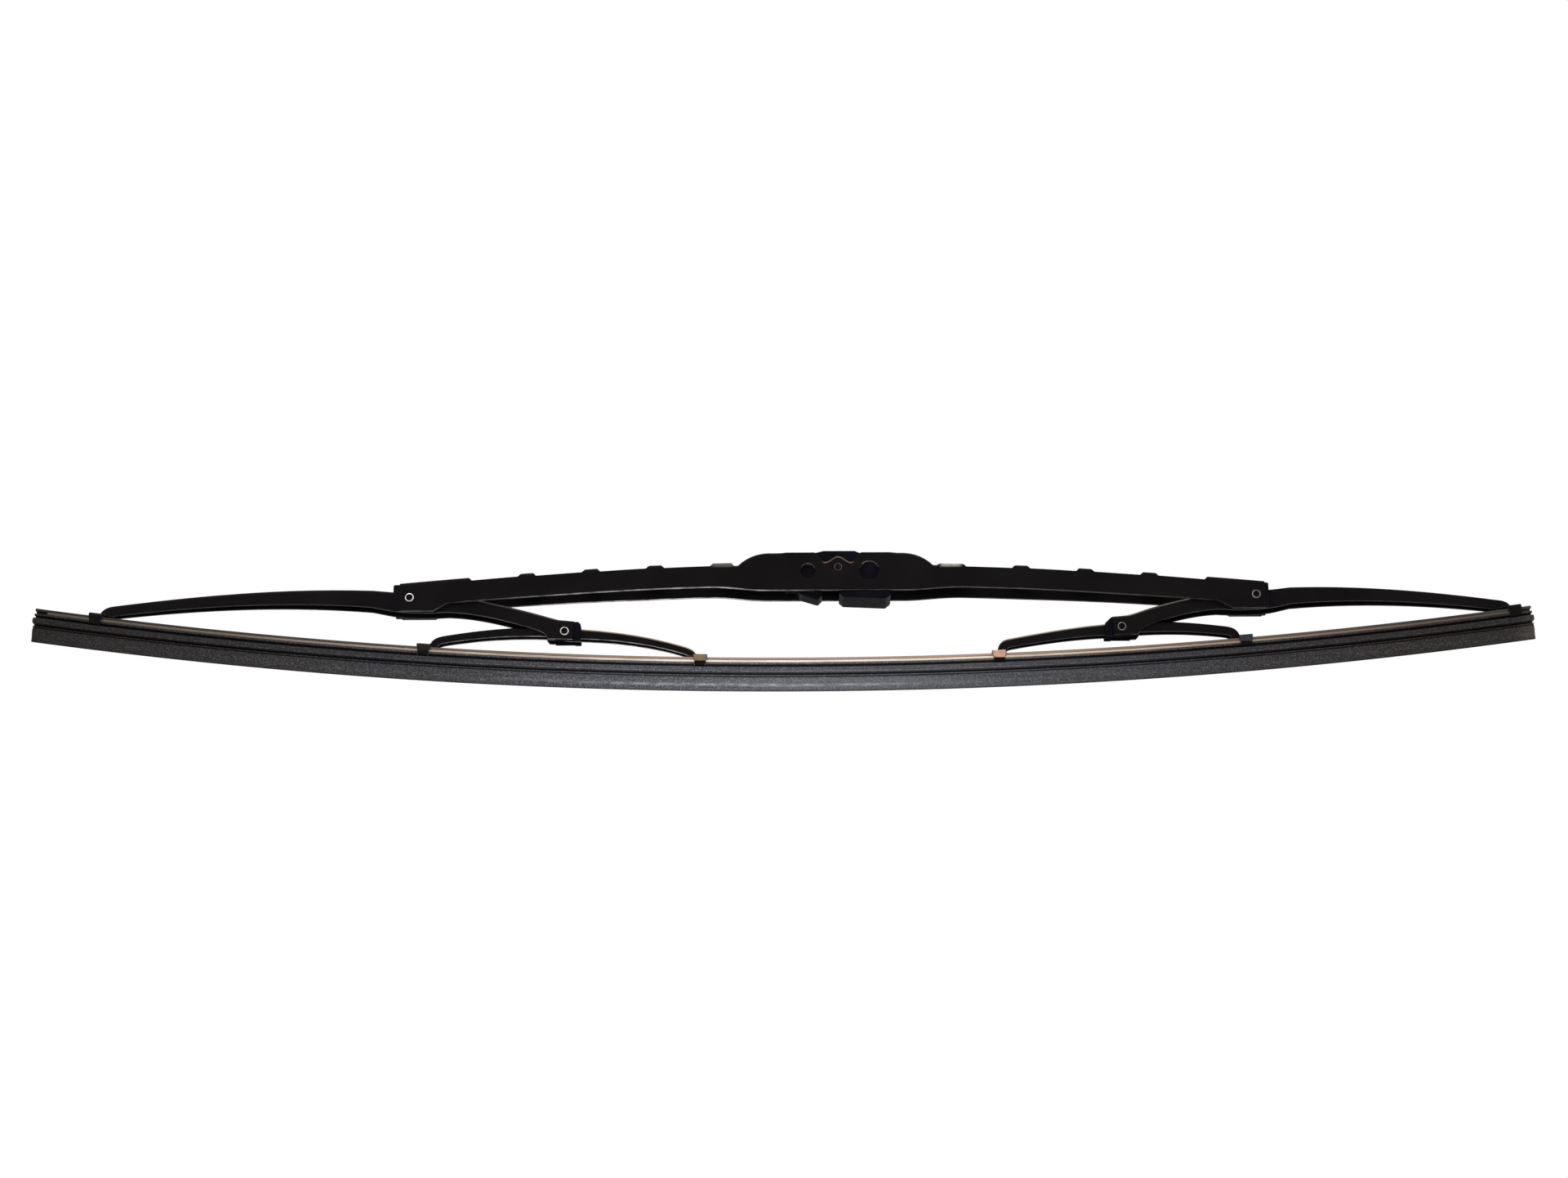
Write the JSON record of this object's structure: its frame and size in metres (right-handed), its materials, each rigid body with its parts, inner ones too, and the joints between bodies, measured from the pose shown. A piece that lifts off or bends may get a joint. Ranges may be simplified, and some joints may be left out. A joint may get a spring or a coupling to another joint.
{
  "type": "wiper blade",
  "caption": "Bracket wiper blade with a windowed steel bridge on an arm clip, riveted levers and yokes, claws and a rubber element on spring rails.",
  "frame": {"origin": "middle of the centre pin's axis, on which the arm's hook holds the blade", "axes": "+X along the blade, +Y across it, along the pin, and +Z away from the glass"},
  "size_m": [0.4969, 0.0138, 0.0467],
  "materials": {
    "painted_steel": "satin black paint",
    "bright_steel": "bright riveted ends",
    "spring_steel": "drawn spring steel, slightly tan",
    "rubber": "matt, dusted grey",
    "black_plastic": "moulded, satin"
  },
  "bodies": {
    "adapter": {"adapter": "black_plastic"},
    "bridge": {"bridge": "painted_steel", "centre_pin": "painted_steel", "rivet_lever_left": "bright_steel", "rivet_lever_right": "bright_steel", "bush_lever_left": "black_plastic", "bush_lever_right": "black_plastic"},
    "lever_left": {"lever_left": "painted_steel", "bush_yoke_left": "black_plastic", "rivet_yoke_left": "bright_steel"},
    "lever_right": {"lever_right": "painted_steel", "bush_yoke_right": "black_plastic", "rivet_yoke_right": "bright_steel"},
    "yoke_left": {"yoke_left": "painted_steel", "rubber_element": "rubber", "rail_front": "spring_steel", "rail_back": "spring_steel"},
    "yoke_right": {"yoke_right": "painted_steel"}
  },
  "joints": [
    {"name": "clip_rock", "type": "hinge", "parent": "adapter", "child": "bridge", "pos_m": [0, 0, 0], "axis": [0, 1, 0], "range_deg": [-18, 0]},
    {"name": "lever_left_pivot", "type": "hinge", "parent": "bridge", "child": "lever_left", "pos_m": [-0.1415, 0, -0.0096], "axis": [0, 1, 0], "range_deg": [-7, 2], "stiffness_Nm_per_rad": 2.5, "deforming": ["rubber_element", "rail_front", "rail_back"]},
    {"name": "lever_right_pivot", "type": "hinge", "parent": "bridge", "child": "lever_right", "pos_m": [0.1379, 0, -0.0096], "axis": [0, 1, 0], "range_deg": [-2.4, 8.2]},
    {"name": "yoke_left_pivot", "type": "hinge", "parent": "lever_left", "child": "yoke_left", "pos_m": [-0.0903, 0, -0.02085], "axis": [0, 1, 0], "range_deg": [-2, 7]},
    {"name": "yoke_right_pivot", "type": "hinge", "parent": "lever_right", "child": "yoke_right", "pos_m": [0.0934, 0, -0.02003], "axis": [0, 1, 0], "range_deg": [-8.2, 2.4]}
  ],
  "couplings": [
    {"joint": "lever_right_pivot", "follows": "lever_left_pivot", "ratio": -1.161},
    {"joint": "yoke_left_pivot", "follows": "lever_left_pivot", "ratio": -1},
    {"joint": "yoke_right_pivot", "follows": "lever_left_pivot", "ratio": 1.161}
  ]
}
